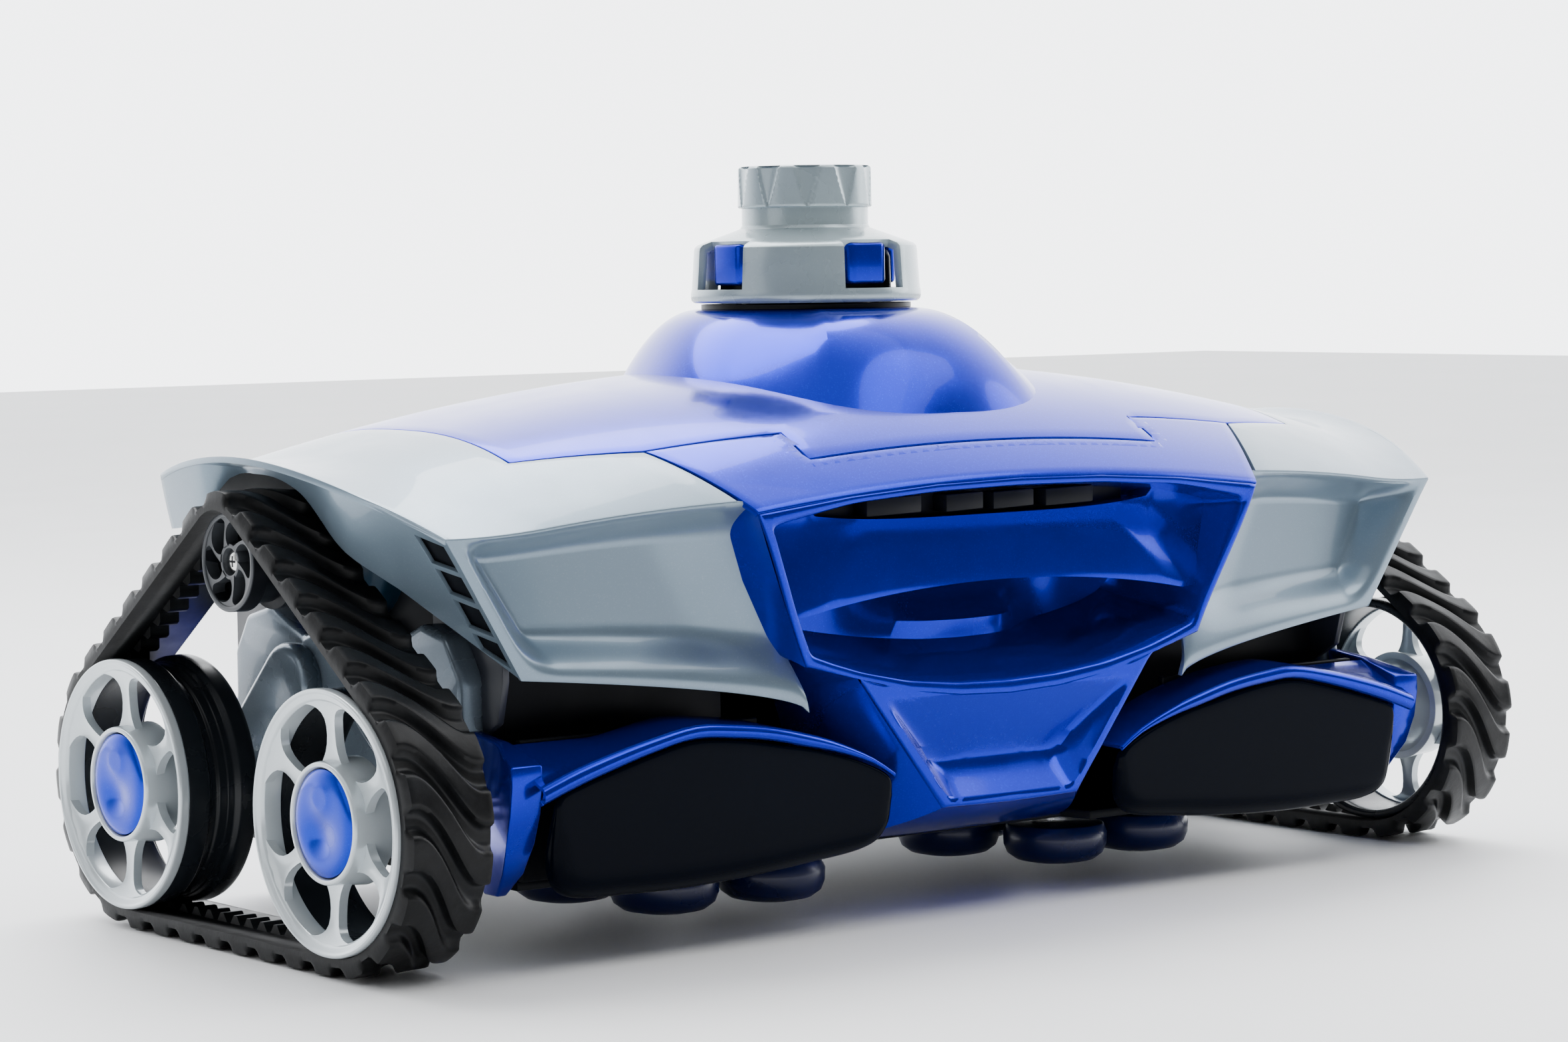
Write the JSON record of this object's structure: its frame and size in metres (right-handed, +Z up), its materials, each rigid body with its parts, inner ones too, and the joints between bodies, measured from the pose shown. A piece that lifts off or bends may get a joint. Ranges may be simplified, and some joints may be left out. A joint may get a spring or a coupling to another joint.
{
  "type": "tracked pool cleaner",
  "caption": "Low, wide suction-side pool cleaner on two rubber tracks, with a domed hinged cover, hose swivel, swinging skirt flaps and a recessed front grip.",
  "frame": {"origin": "on the floor, midway between the two tracks and midway from front to back, under the hose swivel's axis", "axes": "+X across the cleaner from track to track, -Y the front with the grip, +Z up"},
  "size_m": [0.542, 0.2514, 0.28],
  "materials": {
    "blue_shell": "metallic gloss, fine flake",
    "silver_shell": "metallic satin",
    "blue_body": "satin",
    "dark_panel": "high gloss",
    "belt_rubber": "matt, scuffed",
    "soft_rubber": "matt",
    "seal_rubber": "matt",
    "wheel_silver": "satin",
    "cap_blue": "gloss",
    "dark_plastic": "satin",
    "grey_plastic": "satin",
    "engine_plastic": "matt",
    "frame_silver": "satin",
    "steel": "bright"
  },
  "bodies": {
    "body": {"lower_body": "blue_body", "front_shell": "blue_shell", "grip_bar": "blue_shell", "rear_shell": "blue_shell", "left_fender": "silver_shell", "right_fender": "silver_shell", "cover_latch": "dark_plastic", "cover_hinge_pins": "steel", "left_track": "belt_rubber", "right_track": "belt_rubber", "left_side_frame": "frame_silver", "right_side_frame": "frame_silver", "drive_bushes": "engine_plastic", "wheel_axles": "steel", "engine_lower_casing": "engine_plastic", "engine_upper_casing": "engine_plastic", "engine_gasket": "seal_rubber", "engine_screws": "steel", "turbine_bearings": "steel", "brush_spindles": "steel", "case_screws": "steel"},
    "cover": {"top_cover": "blue_shell", "swivel_base": "dark_plastic"},
    "swivel": {"swivel_cowl": "grey_plastic", "swivel_core": "blue_body", "swivel_seal": "seal_rubber", "hose_collet": "seal_rubber"},
    "nut": {"hose_nut": "grey_plastic"},
    "turbine": {"turbine": "engine_plastic", "turbine_shaft": "steel", "left_turbine_pinion": "engine_plastic", "right_turbine_pinion": "engine_plastic"},
    "left_drive": {"left_drive_shaft": "steel", "left_drive_gear": "engine_plastic", "left_drive_pulley": "grey_plastic", "left_pulley_screw": "steel"},
    "left_brush": {"left_brush": "soft_rubber"},
    "left_front_wheel": {"left_front_wheel_drum": "dark_plastic", "left_front_wheel_rim": "wheel_silver", "left_front_wheel_cap": "cap_blue"},
    "front_left_flap": {"front_left_flap": "dark_panel"},
    "left_rear_wheel": {"left_rear_wheel_drum": "dark_plastic", "left_rear_wheel_rim": "wheel_silver", "left_rear_wheel_cap": "cap_blue"},
    "rear_left_flap": {"rear_left_flap": "dark_panel"},
    "right_drive": {"right_drive_shaft": "steel", "right_drive_gear": "engine_plastic", "right_drive_pulley": "grey_plastic", "right_pulley_screw": "steel"},
    "right_brush": {"right_brush": "soft_rubber"},
    "right_front_wheel": {"right_front_wheel_drum": "dark_plastic", "right_front_wheel_rim": "wheel_silver", "right_front_wheel_cap": "cap_blue"},
    "front_right_flap": {"front_right_flap": "dark_panel"},
    "right_rear_wheel": {"right_rear_wheel_drum": "dark_plastic", "right_rear_wheel_rim": "wheel_silver", "right_rear_wheel_cap": "cap_blue"},
    "rear_right_flap": {"rear_right_flap": "dark_panel"}
  },
  "joints": [
    {"name": "cover_hinge", "type": "hinge", "parent": "body", "child": "cover", "pos_m": [0, 0.097, 0.184], "axis": [-1, 0, 0], "range_deg": [0, 75]},
    {"name": "swivel_spin", "type": "hinge", "parent": "cover", "child": "swivel", "pos_m": [0, 0, 0.24], "axis": [0, 0, 1], "continuous": true},
    {"name": "nut_turn", "type": "hinge", "parent": "swivel", "child": "nut", "pos_m": [0, 0, 0.27], "axis": [0, 0, 1], "continuous": true},
    {"name": "turbine_spin", "type": "hinge", "parent": "body", "child": "turbine", "pos_m": [0, 0, 0.11], "axis": [1, 0, 0], "continuous": true},
    {"name": "left_drive_spin", "type": "hinge", "parent": "body", "child": "left_drive", "pos_m": [-0.24, 0, 0.1395], "axis": [1, 0, 0], "continuous": true},
    {"name": "left_front_wheel_spin", "type": "hinge", "parent": "body", "child": "left_front_wheel", "pos_m": [-0.25, -0.0714, 0.054], "axis": [1, 0, 0], "continuous": true},
    {"name": "left_rear_wheel_spin", "type": "hinge", "parent": "body", "child": "left_rear_wheel", "pos_m": [-0.25, 0.0714, 0.054], "axis": [1, 0, 0], "continuous": true},
    {"name": "left_brush_spin", "type": "hinge", "parent": "body", "child": "left_brush", "pos_m": [-0.092, -0.03, 0.016], "axis": [0, 0, 1], "continuous": true},
    {"name": "front_left_flap_swing", "type": "hinge", "parent": "body", "child": "front_left_flap", "pos_m": [-0.13, -0.117, 0.056], "axis": [1, 0, 0], "range_deg": [-12, 22]},
    {"name": "rear_left_flap_swing", "type": "hinge", "parent": "body", "child": "rear_left_flap", "pos_m": [-0.13, 0.117, 0.056], "axis": [-1, 0, 0], "range_deg": [-12, 22]},
    {"name": "right_drive_spin", "type": "hinge", "parent": "body", "child": "right_drive", "pos_m": [0.24, 0, 0.1395], "axis": [1, 0, 0], "continuous": true},
    {"name": "right_front_wheel_spin", "type": "hinge", "parent": "body", "child": "right_front_wheel", "pos_m": [0.25, -0.0714, 0.054], "axis": [1, 0, 0], "continuous": true},
    {"name": "right_rear_wheel_spin", "type": "hinge", "parent": "body", "child": "right_rear_wheel", "pos_m": [0.25, 0.0714, 0.054], "axis": [1, 0, 0], "continuous": true},
    {"name": "right_brush_spin", "type": "hinge", "parent": "body", "child": "right_brush", "pos_m": [0.092, -0.03, 0.016], "axis": [0, 0, 1], "continuous": true},
    {"name": "front_right_flap_swing", "type": "hinge", "parent": "body", "child": "front_right_flap", "pos_m": [0.13, -0.117, 0.056], "axis": [1, 0, 0], "range_deg": [-12, 22]},
    {"name": "rear_right_flap_swing", "type": "hinge", "parent": "body", "child": "rear_right_flap", "pos_m": [0.13, 0.117, 0.056], "axis": [-1, 0, 0], "range_deg": [-12, 22]}
  ],
  "couplings": [
    {"joint": "left_front_wheel_spin", "follows": "right_front_wheel_spin", "ratio": 1},
    {"joint": "left_rear_wheel_spin", "follows": "right_front_wheel_spin", "ratio": 1},
    {"joint": "left_drive_spin", "follows": "right_front_wheel_spin", "ratio": 2.405},
    {"joint": "right_rear_wheel_spin", "follows": "right_front_wheel_spin", "ratio": 1},
    {"joint": "right_drive_spin", "follows": "right_front_wheel_spin", "ratio": 2.405},
    {"joint": "turbine_spin", "follows": "right_front_wheel_spin", "ratio": -6.4634}
  ]
}
